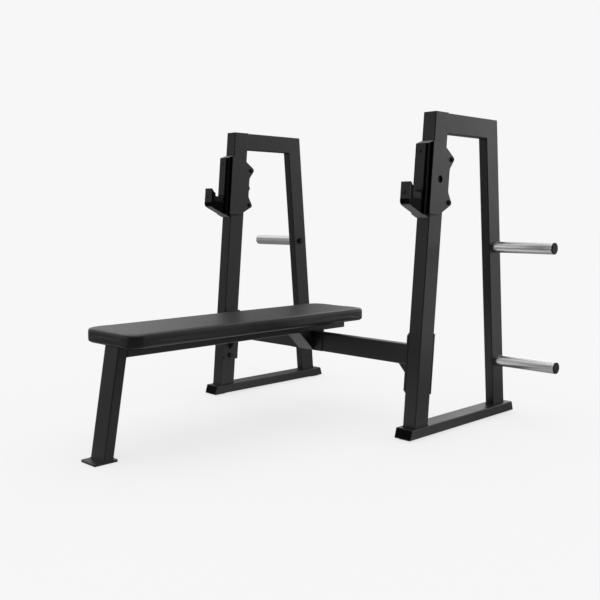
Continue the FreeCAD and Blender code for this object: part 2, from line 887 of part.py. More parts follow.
def make_pad():
    """The cushion as one plain closed solid."""
    body = new_body("pad")
    half = dim.pad_width / 2
    plan = [
        (-half, dim.pad_front),
        (half, dim.pad_front),
        (half, dim.pad_rear),
        (-half, dim.pad_rear),
    ]
    base = tray_top + dim.soft_gap
    prism(body, "XY_Plane", plan, dim.pad_thick - dim.soft_gap, False, base)
    dress(body, "Fillet", dim.pad_corner, lambda edge: straight_along(edge, (0, 0, 1)))
    top = (tray_top + dim.pad_thick).value
    dress(body, "Fillet", dim.pad_round, lambda edge: reaches(edge, "z", top))
    dress(body, "Fillet", dim.pad_edge_low, lambda edge: reaches(edge, "z", base.value))
    place(body, zero, dim.rack_front)
    return keep("pad", body)


make_leg()
make_spine()
make_foot_plate()
make_brace()
make_flange()
make_wedge()
make_pad_fixings()
make_pad_tray()
make_pad()
caps.append(make_spine_cap())
group("tube_end_caps", caps)
plate_inset = as_size(2)
rubber.append(make_box(
    "rubber_bench",
    (plate_inset - dim.foot_plate_width / 2, dim.foot_plate_front + dim.rack_front + plate_inset, zero),
    (dim.foot_plate_width / 2 - plate_inset, dim.foot_plate_rear + dim.rack_front - plate_inset,
     dim.foot_plate_rubber)))
group("rubber_feet", rubber)

# ---------------------------------------------------------------- plate pegs

half_turn = FreeCAD.Rotation(FreeCAD.Vector(0, 0, 1), 180)


def make_peg(node, sign, height):
    """Steel tube with a threaded plug in its root; the tube sticks straight out of the side."""
    body = new_body(node)
    inner = dim.peg_radius - dim.peg_wall
    turned(body, [
        (zero, dim.peg_bolt_radius),
        (zero, dim.peg_radius),
        (dim.peg_length, dim.peg_radius),
        (dim.peg_length, inner),
        (dim.peg_plug, inner),
        (dim.peg_plug, dim.peg_bolt_radius),
    ])
    root = (dim.side_plane + dim.rear_width / 2) * sign
    place(body, root, peg_spot(height) + dim.rack_front, height, None if sign > 0 else half_turn)
    return keep(node, body)


def make_peg_cap(name, sign, height):
    body = new_body(name)
    plug = dim.peg_radius - dim.peg_wall - dim.cap_gap
    turned(body, [
        (-dim.cap_plug, zero),
        (-dim.cap_plug, plug),
        (zero, plug),
        (zero, dim.peg_radius),
        (dim.peg_cap_thick, dim.peg_radius),
        (dim.peg_cap_thick, zero),
    ])
    dress(body, "Fillet", dim.peg_cap_round,
          lambda edge: reaches(edge, "x", dim.peg_cap_thick.value) and edge.Length > 100.0)
    tip = (dim.side_plane + dim.rear_width / 2 + dim.peg_length) * sign
    place(body, tip, peg_spot(height) + dim.rack_front, height, None if sign > 0 else half_turn)
    return body


peg_caps = []
peg_bolts = []
for side, sign in sides:
    outward = along_plus_x if sign > 0 else along_minus_x
    for level, height in (("upper", dim.peg_high), ("lower", dim.peg_low)):
        make_peg("peg_%s_%s" % (level, side), sign, height)
        peg_caps.append(make_peg_cap("peg_cap_%s_%s" % (level, side), sign, height))
        inner_face = (dim.side_plane - dim.rear_width / 2).value * sign
        spot = (inner_face, (peg_spot(height) + dim.rack_front).value, height.value)
        peg_bolts.append(hex_bolt("peg_bolt_%s_%s" % (level, side), dim.peg_bolt_radius.value, 56.0, 24.0,
                                  10.0, 15.0, spot, outward))
group("peg_caps", peg_caps)
group("peg_bolts", peg_bolts)

# ---------------------------------------------------------------- sliding bar hooks

flange_inner = dim.upright_width / 2 + dim.slide_gap + dim.liner_thick
flange_outer = flange_inner + dim.channel_wall
plate_outer = flange_outer + dim.plate_thick
web_inner = -dim.slide_gap - dim.liner_thick
web_front = web_inner - dim.channel_wall
liner_half = dim.channel_half - 18
back_screw = dim.back_liner_high - 32.5
lip_screw = dim.lip_top - 42
screw_radius = dim.screw_hole_radius - 0.2
screw_length = as_size(24)


def place_on_carriage(thing, sign):
    y, z = along_front(dim.hook_mark, zero)
    place(thing, dim.side_plane * sign, y + dim.rack_front, z, leaning())


def make_channel(node, sign):
    """Folded steel channel that wraps the front and both sides of the upright."""
    body = new_body(node)
    plan = [
        (-flange_outer, web_front),
        (flange_outer, web_front),
        (flange_outer, dim.channel_back),
        (flange_inner, dim.channel_back),
        (flange_inner, web_inner),
        (-flange_inner, web_inner),
        (-flange_inner, dim.channel_back),
        (-flange_outer, dim.channel_back),
    ]
    prism(body, "XY_Plane", plan, dim.channel_half * 2)
    corner = flange_outer.value
    dress(body, "Fillet", dim.hook_corner, lambda edge: reaches(edge, "y", web_front.value)
          and (reaches(edge, "x", corner) or reaches(edge, "x", -corner)))
    window = [(dim.window_back, zero, dim.window_radius)]
    cut_holes(body, "YZ_Plane", window, dim.channel_wall * 3, True, flange_outer * sign)
    place_on_carriage(body, sign)
    return keep(node, body)


def make_side_plate(node, sign, across, with_window):
    """Wavy cheek plate: two ears carry the bolts of the glide blocks behind the upright."""
    body = new_body(node)
    corners = [
        (dim.plate_front, -dim.channel_half),
        (dim.plate_front, dim.channel_half),
        (dim.plate_taper_start, dim.channel_half),
        (dim.ear_back, dim.ear_high),
        (dim.plate_waist, dim.plate_waist_half),
        (dim.plate_waist, -dim.plate_waist_half),
        (dim.ear_back, -dim.ear_high),
        (dim.plate_taper_start, -dim.channel_half),
    ]
    middle = (flange_outer + dim.plate_thick / 2) * across
    prism(body, "YZ_Plane", corners, dim.plate_thick, True, middle)
    dress(body, "Fillet", dim.ear_round,
          lambda edge: straight_along(edge, (1, 0, 0)) and reaches(edge, "y", dim.ear_back.value))
    dress(body, "Fillet", dim.waist_round,
          lambda edge: straight_along(edge, (1, 0, 0)) and reaches(edge, "y", dim.plate_waist.value))
    dress(body, "Fillet", dim.plate_corner,
          lambda edge: straight_along(edge, (1, 0, 0)) and reaches(edge, "y", dim.plate_front.value))
    axle_hole = dim.axle_radius + dim.axle_gap
    holes = [(dim.axle_back, dim.axle_high * way, axle_hole) for way in (-1, 1)]
    if with_window:
        holes.append((dim.window_back, zero, dim.window_radius))
    cut_holes(body, "YZ_Plane", holes, dim.plate_thick * 3, True, middle)
    place_on_carriage(body, sign)
    return keep(node, body)


def make_hook_block(node, sign):
    """Moulded block with the J-shaped arm that the bar lies in; one slanted plane runs under both."""
    body = new_body(node)
    slant = (dim.block_low - dim.chin_low) / (web_front - dim.lip_front)
    block_front_low = dim.chin_low + slant * (dim.block_front - dim.lip_front)
    prism(body, "YZ_Plane", [
        (dim.block_front, block_front_low),
        (web_front, dim.block_low),
        (web_front, dim.back_liner_high + dim.block_top_rise),
        (dim.block_front, dim.back_liner_high),
    ], dim.block_half * 2)
    plate_back = dim.lip_front + dim.lip_plate_thick
    prism(body, "YZ_Plane", [
        (dim.block_front, dim.seat_low),
        (dim.lip_inner, dim.seat_low),
        (dim.lip_inner, dim.lip_top - dim.lip_slope),
        (plate_back, dim.lip_top),
        (plate_back, dim.lip_plate_low),
        (dim.lip_front, dim.lip_plate_low),
        (dim.lip_front, dim.chin_low),
        (web_front, dim.block_low),
        (web_front, dim.seat_low),
    ], dim.hook_half * 2)
    dress(body, "Fillet", dim.chin_round, lambda edge: reaches(edge, "y", dim.lip_front.value)
          and reaches(edge, "z", dim.chin_low.value))
    dress(body, "Fillet", dim.seat_corner, lambda edge: reaches(edge, "z", dim.seat_low.value)
          and (reaches(edge, "y", dim.lip_inner.value) or reaches(edge, "y", dim.block_front.value)))
    for up, face in ((back_screw, dim.block_front), (lip_screw, plate_back)):
        cut_holes(body, "XZ_Plane", [(zero, up, dim.screw_hole_radius)], screw_length, False, -face)
    place_on_carriage(body, sign)
    return keep(node, body)


def make_face_plate(node, sign, half, front, back, low, high, screw_high):
    """Flat plate on the front of the block or of the lip, with one countersunk screw hole."""
    body = new_body(node)
    plan = [(-half, front), (half, front), (half, back), (-half, back)]
    prism(body, "XY_Plane", plan, high - low, False, low)
    dress(body, "Fillet", dim.hook_corner, lambda edge: reaches(edge, "y", front.value))
    cut_holes(body, "XZ_Plane", [(zero, screw_high, dim.screw_sink_radius)], dim.screw_sink, False, -front)
    cut_holes(body, "XZ_Plane", [(zero, screw_high, dim.screw_hole_radius)], back - front, False, -front)
    place_on_carriage(body, sign)
    return keep(node, body)


def make_seat_liner(node, sign):
    """Thick insert in the saddle with a shallow trough; the bar rests on it."""
    body = new_body(node)
    rim = dim.lip_inner + dim.seat_wall
    back_rim = dim.block_front - dim.seat_wall
    back_top = dim.back_liner_low - dim.soft_gap
    front_top = dim.lip_top - dim.lip_slope
    prism(body, "YZ_Plane", [
        (dim.lip_inner, front_top),
        (dim.lip_inner, dim.seat_low),
        (dim.block_front, dim.seat_low),
        (dim.block_front, back_top),
        (back_rim, back_top),
        (back_rim, dim.seat_top),
        (rim, dim.seat_top),
        (rim, front_top),
    ], dim.back_liner_half * 2 - 1)
    for corner, level in ((dim.seat_corner, dim.seat_low.value), (dim.trough_corner, dim.seat_top.value)):
        dress(body, "Fillet", corner,
              lambda edge: reaches(edge, "z", level) and straight_along(edge, (1, 0, 0)))
    place_on_carriage(body, sign)
    return keep(node, body)


def make_slide_liners(node, sign):
    """Three nylon strips between the channel and the upright."""
    strips = []
    side_in = flange_inner - dim.liner_thick
    plans = (
        ("front", as_size(-26), as_size(26), web_inner, web_inner + dim.liner_thick),
        ("plus", side_in, flange_inner, as_size(6), dim.channel_back - 4),
        ("minus", -flange_inner, -side_in, as_size(6), dim.channel_back - 4),
    )
    for where, left, right, front, back in plans:
        body = new_body(node + "_" + where)
        plan = [(left, front), (right, front), (right, back), (left, back)]
        prism(body, "XY_Plane", plan, liner_half * 2)
        place_on_carriage(body, sign)
        strips.append(body)
    return group(node, strips)


def hexagon(radius):
    """Corners of a key socket about the origin."""
    turns = [math.radians(60 * step) for step in range(6)]
    return [(radius * math.cos(turn), radius * math.sin(turn)) for turn in turns]


def make_screw(name, sign, up, front):
    """Countersunk head screw with a hexagon socket, sunk in its plate."""
    body = new_body(name)
    head = screw_radius + 3
    turned(body, [
        (front + 0.2, zero),
        (front + 0.2, head - 1),
        (front + 1.2, head),
        (front + dim.screw_sink, head),
        (front + dim.screw_sink, screw_radius),
        (front + screw_length, screw_radius),
        (front + screw_length, zero),
    ])
    cut_prism(body, "YZ_Plane", hexagon(2.3), as_size(2.5), False, front + 0.2, True)
    y, z = along_front(dim.hook_mark + up, zero)
    spin = leaning().multiply(FreeCAD.Rotation(FreeCAD.Vector(0, 0, 1), 90))
    place(body, dim.side_plane * sign, y + dim.rack_front, z, spin)
    return body


def make_axles(node, sign):
    """Bolts that hold the glide blocks between the cheek plates, each with a domed nut."""
    pieces = []
    reach = plate_outer + 5
    for level, way in (("low", -1), ("high", 1)):
        y, z = along_front(dim.hook_mark + dim.axle_high * way, dim.axle_back)
        bolt = new_body("%s_bolt_%s" % (node, level))
        dome = plate_outer + dim.dome_tall
        turned(bolt, [
            (-reach, zero),
            (-reach, dim.axle_radius),
            (plate_outer, dim.axle_radius),
            (plate_outer, dim.dome_radius),
            (dome - 3, dim.dome_radius),
            (dome, dim.dome_radius - 4),
            (dome, zero),
        ])
        cut_prism(bolt, "YZ_Plane", hexagon(4), as_size(5), False, dome)
        nut = new_body("%s_nut_%s" % (node, level))
        turned(nut, [
            (-plate_outer, dim.axle_radius),
            (-plate_outer, dim.dome_radius),
            (-dome + 3, dim.dome_radius),
            (-dome, dim.dome_radius - 4),
            (-dome, zero),
            (-reach, zero),
            (-reach, dim.axle_radius),
        ])
        for piece in (bolt, nut):
            place(piece, dim.side_plane * sign, y + dim.rack_front, z, None if sign > 0 else half_turn)
            pieces.append(piece)
    return group(node, pieces)


def make_glide(node, sign, way):
    """Nylon block on an axle bolt that slides on the back of the upright."""
    body = new_body(node)
    front = dim.upright_depth + dim.slide_gap
    back = front + dim.glide_deep
    corners = [
        (front, dim.axle_high - dim.glide_half),
        (front, dim.axle_high + dim.glide_half),
        (back - 17, dim.axle_high + dim.glide_half),
        (back, dim.axle_high + 8),
        (back, dim.axle_high - 6),
        (back - 9, dim.axle_high - dim.glide_half),
    ]
    prism(body, "YZ_Plane", [(behind, up * way) for behind, up in corners], flange_outer * 2)
    hole = [(dim.axle_back, dim.axle_high * way, dim.axle_radius + dim.axle_gap)]
    cut_holes(body, "YZ_Plane", hole, flange_outer * 3)
    place_on_carriage(body, sign)
    return keep(node, body)


def make_pin_holder(node, sign):
    """Cross plate between the cheek plates with the bush that guides the locking pin."""
    body = new_body(node)
    front = dim.pin_plate_front
    back = front + dim.pin_plate_thick
    plan = [(-flange_outer, front), (flange_outer, front), (flange_outer, back), (-flange_outer, back)]
    prism(body, "XY_Plane", plan, dim.pin_plate_half * 2)
    sketch = new_sketch(body, "XZ_Plane", -front)
    circle(sketch, zero, zero, dim.housing_radius)
    extrude(body, "Pad", sketch, dim.housing_rear - front, False, True)
    bore = [(zero, zero, dim.pin_radius + dim.pin_gap)]
    cut_holes(body, "XZ_Plane", bore, dim.housing_rear - front + 2, False, as_size(1) - front)
    place_on_carriage(body, sign)
    return keep(node, body)


def make_pull_pin(node, sign):
    """Locking pin with its pull knob; drawn back it frees the hook to slide."""
    body = new_body(node)
    tip = dim.upright_depth + 0.3
    turned(body, [
        (tip, zero),
        (tip, dim.pin_radius - 1),
        (tip + 1, dim.pin_radius),
        (dim.knob_front, dim.pin_radius),
        (dim.knob_front, dim.knob_radius - 3),
        (dim.knob_front + 3, dim.knob_radius),
        (dim.knob_rear - 3, dim.knob_radius),
        (dim.knob_rear, dim.knob_radius - 3),
        (dim.knob_rear, zero),
    ])
    y, z = along_front(dim.hook_mark, zero)
    spin = leaning().multiply(FreeCAD.Rotation(FreeCAD.Vector(0, 0, 1), 90))
    place(body, dim.side_plane * sign, y + dim.rack_front, z, spin)
    return keep(node, body)


for side, sign in sides:
    make_channel("hook_channel_" + side, sign)
    make_side_plate("hook_plate_outer_" + side, sign, sign, True)
    make_side_plate("hook_plate_inner_" + side, sign, -sign, False)
    make_hook_block("hook_block_" + side, sign)
    make_face_plate("hook_back_liner_" + side, sign, dim.back_liner_half, dim.back_liner_front,
                    dim.block_front, dim.back_liner_low, dim.back_liner_high, back_screw)
    make_face_plate("hook_lip_plate_" + side, sign, dim.hook_half, dim.lip_front,
                    dim.lip_front + dim.lip_plate_thick, dim.lip_plate_low, dim.lip_top, lip_screw)
    make_seat_liner("hook_seat_liner_" + side, sign)
    make_slide_liners("hook_slide_liners_" + side, sign)
    group("hook_screws_" + side, [
        make_screw("hook_screw_back_" + side, sign, back_screw, dim.back_liner_front),
        make_screw("hook_screw_lip_" + side, sign, lip_screw, dim.lip_front),
    ])
    make_axles("hook_axles_" + side, sign)
    make_glide("hook_glide_upper_" + side, sign, 1)
    make_glide("hook_glide_lower_" + side, sign, -1)
    make_pin_holder("pin_holder_" + side, sign)
    make_pull_pin("pull_pin_" + side, sign)

# ---------------------------------------------------------------- check and write

doc.recompute()
for thing in doc.Objects:
    if "Invalid" in thing.State or "Error" in thing.State:
        raise RuntimeError("%s did not compute: %s" % (thing.Name, thing.State))

box = FreeCAD.BoundBox()
for node, thing in sub_parts.items():
    shape = thing.Shape
    if shape.isNull() or not shape.isValid() or not shape.Solids:
        raise RuntimeError("%s has no good shape" % node)
    box.add(shape.BoundBox)
for node, thing in sub_parts.items():
    thing.Shape.exportStep("parts/%s.step" % node)
print("%d sub-parts" % len(sub_parts))
print("x %.1f to %.1f, y %.1f to %.1f, z %.1f to %.1f"
      % (box.XMin, box.XMax, box.YMin, box.YMax, box.ZMin, box.ZMax))
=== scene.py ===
import bmesh
import bpy
import json
import math
from mathutils import Euler, Matrix, Vector


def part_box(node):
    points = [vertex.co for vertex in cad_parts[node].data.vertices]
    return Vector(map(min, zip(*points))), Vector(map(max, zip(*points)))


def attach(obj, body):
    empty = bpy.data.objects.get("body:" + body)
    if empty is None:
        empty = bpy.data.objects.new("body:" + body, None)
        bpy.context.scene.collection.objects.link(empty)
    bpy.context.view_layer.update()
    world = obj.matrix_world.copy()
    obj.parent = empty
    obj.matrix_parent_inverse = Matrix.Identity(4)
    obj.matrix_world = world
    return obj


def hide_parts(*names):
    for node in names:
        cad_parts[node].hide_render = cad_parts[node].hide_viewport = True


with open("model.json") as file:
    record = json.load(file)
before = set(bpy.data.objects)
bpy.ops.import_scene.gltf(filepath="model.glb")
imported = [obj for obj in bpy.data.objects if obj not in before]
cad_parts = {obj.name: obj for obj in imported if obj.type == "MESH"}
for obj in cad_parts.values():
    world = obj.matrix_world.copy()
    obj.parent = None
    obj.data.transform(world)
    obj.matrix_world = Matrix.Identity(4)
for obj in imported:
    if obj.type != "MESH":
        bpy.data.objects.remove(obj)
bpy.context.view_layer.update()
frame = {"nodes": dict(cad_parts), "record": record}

# Sizes in the dictionaries are millimetres unless their name says otherwise.
lean = math.radians(5)  # the front uprights and all that slides on them lean back by this much
upAlong = Vector((0, math.sin(lean), math.cos(lean)))  # up along a front upright
backAcross = Vector((0, math.cos(lean), -math.sin(lean)))  # from its front face to its back
sides = {"left": -1, "right": 1}


def mm(value):
    return value / 1000


def say(text):
    print("stage:", text)


# ---- materials

def linearColour(code):
    # sRGB hex to the linear values that a shader takes
    values = [int(code[i:i + 2], 16) / 255 for i in (1, 3, 5)]
    return [v / 12.92 if v <= 0.04045 else ((v + 0.055) / 1.055) ** 2.4 for v in values] + [1]


def addNode(tree, kind, settings=None, values=None, links=None):
    # one node with its settings, its socket values and what feeds its sockets
    node = tree.nodes.new(kind)
    for name, value in (settings or {}).items():
        setattr(node, name, value)
    for name, value in (values or {}).items():
        node.inputs[name].default_value = value
    for name, source in (links or {}).items():
        tree.links.new(source, node.inputs[name])
    return node


def newMaterial(name):
    material = bpy.data.materials.new(name)
    material.use_nodes = True
    tree = material.node_tree
    tree.nodes.clear()
    place = addNode(tree, "ShaderNodeTexCoord")
    return material, tree, place.outputs["Object"]


def finishMaterial(tree, values, links):
    shader = addNode(tree, "ShaderNodeBsdfPrincipled", None, values, links)
    addNode(tree, "ShaderNodeOutputMaterial", None, None, {"Surface": shader.outputs["BSDF"]})
    return shader


def noisePattern(tree, where, size, detail, extra=None):
    # cloudy pattern, size millimetres across
    values = {"Scale": 1 / mm(size), "Detail": detail, **(extra or {})}
    return addNode(tree, "ShaderNodeTexNoise", None, values, {"Vector": where}).outputs["Fac"]


def mottledColour(tree, where, dark, light, patch):
    # slow drift between two close colours, patch millimetres across
    mix = addNode(tree, "ShaderNodeMix", {"data_type": "RGBA"}, None,
                  {"Factor": noisePattern(tree, where, patch, 3.0)})
    mix.inputs[6].default_value = linearColour(dark)
    mix.inputs[7].default_value = linearColour(light)
    return mix.outputs[2]


def spread(tree, source, low, high):
    # stretches a 0 to 1 pattern to the range low to high
    return addNode(tree, "ShaderNodeMapRange", None,
                   {"To Min": low, "To Max": high}, {"Value": source}).outputs["Result"]


def roundedNormal(tree, radius):
    # softens the sharp arrises of folded and welded steel
    return addNode(tree, "ShaderNodeBevel", {"samples": 4}, {"Radius": mm(radius)}).outputs["Normal"]


def powderCoat(name, dark, light, roughness, grain):
    # Powder coating, baked on sprayed steel: fine orange peel, so highlights are broad and slightly grainy.
    material, tree, where = newMaterial(name)
    peel = noisePattern(tree, where, grain, 2.0)
    bump = addNode(tree, "ShaderNodeBump", None, {"Strength": 0.12, "Distance": mm(0.15)},
                   {"Height": peel, "Normal": roundedNormal(tree, 1.2)})
    wipe = noisePattern(tree, where, 90, 4.0)
    finishMaterial(tree, {"IOR": 1.5, "Specular IOR Level": coatLook["specular"]}, {
        "Base Color": mottledColour(tree, where, dark, light, 60),
        "Roughness": spread(tree, wipe, roughness - 0.05, roughness + 0.05),
        "Normal": bump.outputs["Normal"]})
    return material


def mouldedNylon(name, dark, light, roughness, grain, shine):
    # Black moulded nylon or polyethylene with a spark-eroded texture: dull, and darker than the coated steel.
    material, tree, where = newMaterial(name)
    spark = addNode(tree, "ShaderNodeTexVoronoi", {"feature": "F1"}, {"Scale": 1 / mm(grain)},
                    {"Vector": where})
    bump = addNode(tree, "ShaderNodeBump", None, {"Strength": 0.18, "Distance": mm(0.12)},
                   {"Height": spark.outputs["Distance"], "Normal": roundedNormal(tree, 1.5)})
    wear = noisePattern(tree, where, 25, 3.0)
    finishMaterial(tree, {"IOR": 1.5, "Specular IOR Level": shine}, {
        "Base Color": mottledColour(tree, where, dark, light, 30),
        "Roughness": spread(tree, wear, roughness - 0.06, roughness + 0.06),
        "Normal": bump.outputs["Normal"]})
    return material


def paintedSheenNylon(name):
    # Black nylon. Faces that look up or down are painted paler: a painted highlight that
    # stands in for the sheen they show.
    material, tree, where = newMaterial(name)
    facing = addNode(tree, "ShaderNodeTexCoord").outputs["Normal"]
    height = addNode(tree, "ShaderNodeSeparateXYZ", None, None, {"Vector": facing}).outputs["Z"]
    steep = addNode(tree, "ShaderNodeMath", {"operation": "ABSOLUTE"})
    tree.links.new(height, steep.inputs[0])
    paintedSheen = addNode(tree, "ShaderNodeMapRange", None, {"From Min": 0.6, "From Max": 0.8},
                   {"Value": steep.outputs[0]}).outputs["Result"]
    mix = addNode(tree, "ShaderNodeMix", {"data_type": "RGBA"}, None, {"Factor": paintedSheen})
    tree.links.new(mottledColour(tree, where, "#030303", "#060606", 30), mix.inputs[6])
    # pale grey painted highlight for the faces that look up or down
    tree.links.new(mottledColour(tree, where, "#77787a", "#8b8c8e", 9), mix.inputs[7])
    finishMaterial(tree, {"IOR": 1.5, "Specular IOR Level": 0.03}, {
        "Base Color": mix.outputs[2],
        "Roughness": spread(tree, paintedSheen, 0.3, 0.5),
        "Normal": roundedNormal(tree, 1.0)})
    return material


def brushedChrome(name):
    # Chromed steel tube, polished on a belt round its axis: fine rings along X and soft bands of light.
    material, tree, where = newMaterial(name)
    rings = addNode(tree, "ShaderNodeMapping", None, {"Scale": (1 / mm(0.6), 1 / mm(40), 1 / mm(40))},
                    {"Vector": where})
    lines = addNode(tree, "ShaderNodeTexNoise", None, {"Scale": 1.0, "Detail": 2.0},
                    {"Vector": rings.outputs["Vector"]})
    bump = addNode(tree, "ShaderNodeBump", None, {"Strength": 0.03, "Distance": mm(0.05)},
                   {"Height": lines.outputs["Fac"], "Normal": roundedNormal(tree, 8)})
    finishMaterial(tree, {"Metallic": 1.0}, {
        "Base Color": mottledColour(tree, where, "#d6d7d8", "#dfe0e1", 45),
        "Roughness": spread(tree, lines.outputs["Fac"], 0.24, 0.34),
        "Normal": bump.outputs["Normal"]})
    return material


def blackOxide(name):
    # Blackened steel of bolts and screws: dark oxide over a metallic ground, slightly oily.
    material, tree, where = newMaterial(name)
    smear = noisePattern(tree, where, 6, 4.0)
    finishMaterial(tree, {"Metallic": 0.6}, {
        "Base Color": mottledColour(tree, where, "#141415", "#222224", 8),
        "Roughness": spread(tree, smear, 0.32, 0.48),
        "Normal": roundedNormal(tree, 0.6)})
    return material


def vinylLeather(name):
    # Expanded vinyl pressed with a leather grain: pebbles about a millimetre wide, glossy on top
    # and dull in the creases.
    material, tree, where = newMaterial(name)
    pebble = addNode(tree, "ShaderNodeTexVoronoi", {"feature": "DISTANCE_TO_EDGE"}, {"Scale": 1 / mm(1.6)},
                     {"Vector": where})
    crease = noisePattern(tree, where, 14, 5.0, {"Distortion": 0.4})
    fine = addNode(tree, "ShaderNodeBump", None, {"Strength": 0.16, "Distance": mm(0.2)},
                   {"Height": pebble.outputs["Distance"]})
    broad = addNode(tree, "ShaderNodeBump", None, {"Strength": 0.1, "Distance": mm(0.6)},
                    {"Height": crease, "Normal": fine.outputs["Normal"]})
    finishMaterial(tree, {"IOR": 1.5, "Specular IOR Level": 0.5}, {
        "Base Color": mottledColour(tree, where, "#0d0b0a", "#12100e", 120),
        "Roughness": spread(tree, crease, 0.3, 0.42),
        "Normal": broad.outputs["Normal"]})
    return material


def footRubber(name):
    # Moulded rubber: near black, very dull, with a faint dusting of grey.
    material, tree, where = newMaterial(name)
    dust = noisePattern(tree, where, 3, 3.0)
    bump = addNode(tree, "ShaderNodeBump", None, {"Strength": 0.2, "Distance": mm(0.2)},
                   {"Height": dust})
    finishMaterial(tree, {"IOR": 1.52, "Specular IOR Level": 0.25}, {
        "Base Color": mottledColour(tree, where, "#0d0d0d", "#161616", 20),
        "Roughness": spread(tree, dust, 0.75, 0.9),
        "Normal": bump.outputs["Normal"]})
    return material


def screenInk(name):
    # Screen printed ink: pale grey, matt, with pin holes where the coat's peel shows through.
    material, tree, where = newMaterial(name)
    holes = noisePattern(tree, where, 0.8, 2.0)
    finishMaterial(tree, {"IOR": 1.5}, {
        "Base Color": mottledColour(tree, where, "#4c4d4e", "#5a5b5c", 6),
        "Roughness": spread(tree, holes, 0.45, 0.65)})
    return material


coatLook = {"specular": 0.5}
coatBlack = powderCoat("powderCoatBlack", "#0b0b0c", "#0f0f10", 0.42, 0.9)
coatHook = powderCoat("powderCoatHook", "#0c0c0d", "#101011", 0.4, 0.8)
nylonCap = mouldedNylon("mouldedNylonCap", "#020202", "#040404", 0.5, 0.9, 0.05)
nylonBlack = mouldedNylon("mouldedNylonBlack", "#050505", "#080808", 0.5, 0.9, 0.2)
nylonLiner = mouldedNylon("mouldedNylonLiner", "#121213", "#171718", 0.4, 0.9, 0.4)
nylonSeat = mouldedNylon("mouldedNylonSeat", "#080808", "#0c0c0c", 0.3, 0.9, 0.12)
# the hook block: black nylon with a painted highlight on its up and down faces
nylonHook = paintedSheenNylon("paintedSheenNylonHook")
pegChrome = brushedChrome("brushedChrome")
boltBlack = blackOxide("blackOxideSteel")
padVinyl = vinylLeather("vinylLeather")
rubberBlack = footRubber("footRubber")
inkPale = screenInk("screenInk")

slotLook = {
    "black_frame": coatBlack,
    "dark_steel_plate": coatHook,
    "dark_steel": boltBlack,
    "black_plastic": nylonBlack,
    "hook_liner": nylonLiner,
    "nylon": nylonBlack,
    "rubber": rubberBlack,
    "peg_chrome": pegChrome,
    "pad_vinyl": padVinyl,
}
# the hook channel is coated steel but takes the near-black nylon cap look, darker than its coat: painted
# shade for the dark strip beside the hook block
hookLook = {"hook_block": nylonHook, "hook_channel": nylonCap, "hook_seat_liner": nylonSeat,
            "tube_end": nylonCap}
for entry in frame["record"]["subparts"]:
    node = frame["nodes"][entry["node"]]
    family = entry["node"].rsplit("_", 1)[0]
    for spot in node.material_slots:
        spot.material = hookLook.get(family, slotLook[entry["material_slot"]])
say("materials on %d steel, nylon and rubber parts" % len(frame["nodes"]))


# ---- helpers for pieces

def meshObject(name, mesh, material):
    piece = bpy.data.objects.new(name, mesh)
    bpy.context.scene.collection.objects.link(piece)
    mesh.materials.clear()
    mesh.materials.append(material)
    return piece


def plainMesh(piece):
    # the object's shape with its modifiers and text made real, as a new mesh
    graph = bpy.context.evaluated_depsgraph_get()
    return bpy.data.meshes.new_from_object(piece.evaluated_get(graph))


def smooth(mesh):
    for face in mesh.polygons:
        face.use_smooth = True


# ---- the cushion

cushion = {
    "corner": 52,  # radius of its corners seen from above
    "topRound": 9,  # radius of its upper edge
    "bottomRound": 5,
    "startInset": 1.0,  # the cover starts this much smaller and swells out
    "voxel": 5,
    "pressure": 4.0,
    "mostSwell": 1.5,
    "frames": 16,
    "pucker": 0.4,  # depth of the small gathers low on the corners
}


def roundedRing(halfWidth, low, high, radius, steps):
    # corners of a rounded rectangle seen from above, counter-clockwise
    middles = [(halfWidth - radius, high - radius, 0), (radius - halfWidth, high - radius, 90),
               (radius - halfWidth, low + radius, 180), (halfWidth - radius, low + radius, 270)]
    ring = []
    for x, y, start in middles:
        for step in range(steps + 1):
            turn = math.radians(start + 90 * step / steps)
            ring.append((x + radius * math.cos(turn), y + radius * math.sin(turn)))
    return ring


def cushionStart(low, high):
    # a closed slab with rounded edges, a little smaller than the finished cushion
    inset = mm(cushion["startInset"])
    half = high.x - inset
    bottom, top = low.z, high.z - inset
    profile = []
    for radius, height, start in ((cushion["bottomRound"], bottom, -90), (cushion["topRound"], top, 0)):
        radius = mm(radius)
        centre = height + radius if start < 0 else height - radius
        for step in range(7):
            turn = math.radians(start + 90 * step / 6)
            profile.append((radius - radius * math.cos(turn), centre + radius * math.sin(turn)))
    work = bmesh.new()
    rings = []
    for back, z in profile:
        ring = roundedRing(half - back, low.y + inset + back, high.y - inset - back,
                           mm(cushion["corner"]) - back, 12)
        rings.append([work.verts.new((x, y, z)) for x, y in ring])
    for below, above in zip(rings, rings[1:]):
        for index in range(len(below)):
            after = (index + 1) % len(below)
            work.faces.new((below[index], below[after], above[after], above[index]))
    work.faces.new(list(reversed(rings[0])))
    work.faces.new(rings[-1])
    mesh = bpy.data.meshes.new("cushionStart")
    work.to_mesh(mesh)
    work.free()
    return mesh


def swell(piece, floor):
    # pumps the cover up like a firm foam core would, held along its underside
    held = piece.vertex_groups.new(name="held")
    held.add([v.index for v in piece.data.vertices if v.co.z < floor + mm(5)], 1.0, "REPLACE")
    cloth = piece.modifiers.new("swell", "CLOTH")
    cloth.settings.use_pressure = True
    cloth.settings.uniform_pressure_force = cushion["pressure"]
    cloth.settings.effector_weights.gravity = 0
    cloth.settings.vertex_group_mass = held.name
    cloth.settings.tension_stiffness = 40
    cloth.settings.compression_stiffness = 40
    cloth.settings.shear_stiffness = 20
    cloth.point_cache.frame_end = cushion["frames"]
    for number in range(1, cushion["frames"] + 1):
        bpy.context.scene.frame_set(number)
    swollen = plainMesh(piece)
    bpy.context.scene.frame_set(1)
    piece.modifiers.clear()
    return swollen


